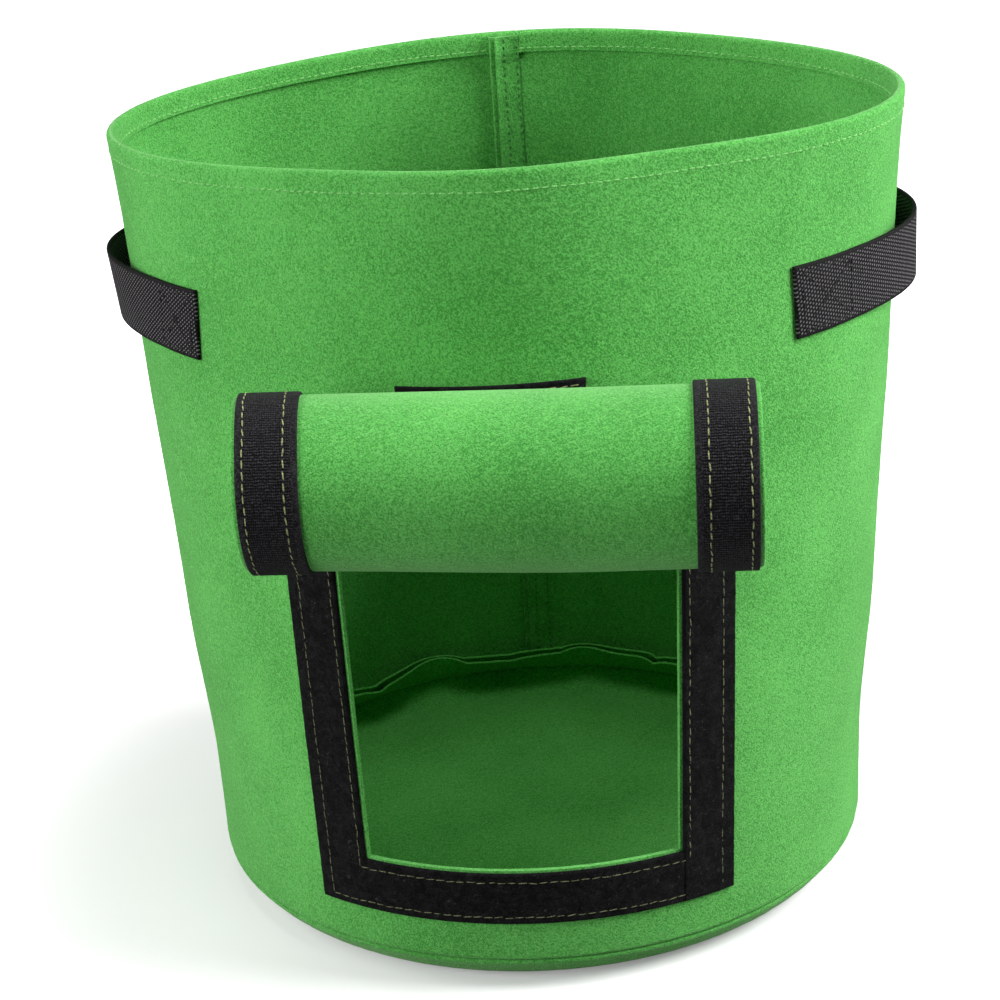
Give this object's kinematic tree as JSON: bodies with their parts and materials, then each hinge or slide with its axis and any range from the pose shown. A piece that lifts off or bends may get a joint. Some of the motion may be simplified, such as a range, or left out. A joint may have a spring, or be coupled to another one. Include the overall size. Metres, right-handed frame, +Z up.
{
  "type": "fabric grow bag",
  "caption": "Round felt planting bag with an oval mouth, two webbing handles and a rolled-up flap over a harvest window in its front.",
  "frame": {"origin": "middle of the underside of the bottom disc, on the floor", "axes": "+Z up, -Y out through the harvest window, +X to the right of the window seen from outside"},
  "size_m": [0.3556, 0.3677, 0.35],
  "materials": {
    "felt": "fuzzy needle-punched felt",
    "loop_tape": "fuzzy loop pile",
    "hook_tape": "woven hook tape",
    "webbing": "woven polypropylene webbing",
    "thread": "polyester sewing thread"
  },
  "bodies": {
    "bag": {"wall_panel": "felt", "bottom_disc": "felt", "bottom_seam_allowance": "felt", "bottom_seam_thread": "thread", "top_hem_fold": "felt", "back_seam_allowance": "felt", "back_seam_thread": "thread", "frame_tape_left": "loop_tape", "frame_tape_right": "loop_tape", "frame_tape_bottom": "loop_tape", "frame_thread": "thread", "keeper_tape": "loop_tape", "keeper_thread": "thread", "flap_head": "felt", "flap_seam_thread": "thread", "hem_thread": "thread", "left_handle_front_tab": "webbing", "left_handle_rear_tab": "webbing", "left_handle_thread": "thread", "right_handle_front_tab": "webbing", "right_handle_rear_tab": "webbing", "right_handle_thread": "thread"},
    "flap_row_01": {"flap_strip_01": "felt", "flap_side_tapes_01": "hook_tape"},
    "flap_row_02": {"flap_strip_02": "felt", "flap_side_tapes_02": "hook_tape"},
    "flap_row_03": {"flap_strip_03": "felt", "flap_side_tapes_03": "hook_tape"},
    "flap_row_04": {"flap_strip_04": "felt", "flap_side_tapes_04": "hook_tape"},
    "flap_row_05": {"flap_strip_05": "felt", "flap_side_tapes_05": "hook_tape"},
    "flap_row_06": {"flap_strip_06": "felt", "flap_side_tapes_06": "hook_tape"},
    "flap_row_07": {"flap_strip_07": "felt", "flap_side_tapes_07": "hook_tape"},
    "flap_row_08": {"flap_strip_08": "felt", "flap_side_tapes_08": "hook_tape"},
    "flap_row_09": {"flap_strip_09": "felt", "flap_side_tapes_09": "hook_tape"},
    "flap_row_10": {"flap_strip_10": "felt", "flap_side_tapes_10": "hook_tape"},
    "flap_row_11": {"flap_strip_11": "felt", "flap_side_tapes_11": "hook_tape"},
    "flap_row_12": {"flap_strip_12": "felt", "flap_side_tapes_12": "hook_tape", "flap_bottom_tape": "hook_tape"},
    "left_handle": {"left_handle_loop": "webbing"},
    "right_handle": {"right_handle_loop": "webbing"}
  },
  "joints": [
    {"name": "flap_unroll", "type": "hinge", "parent": "bag", "child": "flap_row_01", "pos_m": [0, -0.14641, 0.234], "axis": [1, 0, 0], "range_deg": [0, 28.5]},
    {"name": "flap_fold_02", "type": "hinge", "parent": "flap_row_01", "child": "flap_row_02", "pos_m": [0, -0.15537, 0.21933], "axis": [1, 0, 0], "range_deg": [0, 28.5]},
    {"name": "flap_fold_03", "type": "hinge", "parent": "flap_row_02", "child": "flap_row_03", "pos_m": [0, -0.17024, 0.21071], "axis": [1, 0, 0], "range_deg": [0, 28.5]},
    {"name": "flap_fold_04", "type": "hinge", "parent": "flap_row_03", "child": "flap_row_04", "pos_m": [0, -0.18742, 0.21023], "axis": [1, 0, 0], "range_deg": [0, 28.5]},
    {"name": "flap_fold_05", "type": "hinge", "parent": "flap_row_04", "child": "flap_row_05", "pos_m": [0, -0.20275, 0.21801], "axis": [1, 0, 0], "range_deg": [0, 28.5]},
    {"name": "flap_fold_06", "type": "hinge", "parent": "flap_row_05", "child": "flap_row_06", "pos_m": [0, -0.21251, 0.23215], "axis": [1, 0, 0], "range_deg": [0, 28.5]},
    {"name": "flap_fold_07", "type": "hinge", "parent": "flap_row_06", "child": "flap_row_07", "pos_m": [0, -0.21433, 0.24925], "axis": [1, 0, 0], "range_deg": [0, 28.5]},
    {"name": "flap_fold_08", "type": "hinge", "parent": "flap_row_07", "child": "flap_row_08", "pos_m": [0, -0.20778, 0.26514], "axis": [1, 0, 0], "range_deg": [0, 28.5]},
    {"name": "flap_fold_09", "type": "hinge", "parent": "flap_row_08", "child": "flap_row_09", "pos_m": [0, -0.19444, 0.27598], "axis": [1, 0, 0], "range_deg": [0, 28.5]},
    {"name": "flap_fold_10", "type": "hinge", "parent": "flap_row_09", "child": "flap_row_10", "pos_m": [0, -0.17755, 0.27914], "axis": [1, 0, 0], "range_deg": [0, 28.5]},
    {"name": "flap_fold_11", "type": "hinge", "parent": "flap_row_10", "child": "flap_row_11", "pos_m": [0, -0.16119, 0.27386], "axis": [1, 0, 0], "range_deg": [0, 28.5]},
    {"name": "flap_fold_12", "type": "hinge", "parent": "flap_row_11", "child": "flap_row_12", "pos_m": [0, -0.14934, 0.26141], "axis": [1, 0, 0], "range_deg": [0, 28.5]},
    {"name": "left_handle_lift", "type": "hinge", "parent": "bag", "child": "left_handle", "pos_m": [-0.146, 0.00575, 0.2965], "axis": [0, 1, 0], "range_deg": [0, 30]},
    {"name": "right_handle_lift", "type": "hinge", "parent": "bag", "child": "right_handle", "pos_m": [0.146, 0.00575, 0.2965], "axis": [0, -1, 0], "range_deg": [0, 30]}
  ],
  "couplings": [
    {"joint": "flap_fold_02", "follows": "flap_unroll", "ratio": 1},
    {"joint": "flap_fold_03", "follows": "flap_unroll", "ratio": 1},
    {"joint": "flap_fold_04", "follows": "flap_unroll", "ratio": 1},
    {"joint": "flap_fold_05", "follows": "flap_unroll", "ratio": 1},
    {"joint": "flap_fold_06", "follows": "flap_unroll", "ratio": 1},
    {"joint": "flap_fold_07", "follows": "flap_unroll", "ratio": 1},
    {"joint": "flap_fold_08", "follows": "flap_unroll", "ratio": 1},
    {"joint": "flap_fold_09", "follows": "flap_unroll", "ratio": 1},
    {"joint": "flap_fold_10", "follows": "flap_unroll", "ratio": 1},
    {"joint": "flap_fold_11", "follows": "flap_unroll", "ratio": 1},
    {"joint": "flap_fold_12", "follows": "flap_unroll", "ratio": 1}
  ]
}
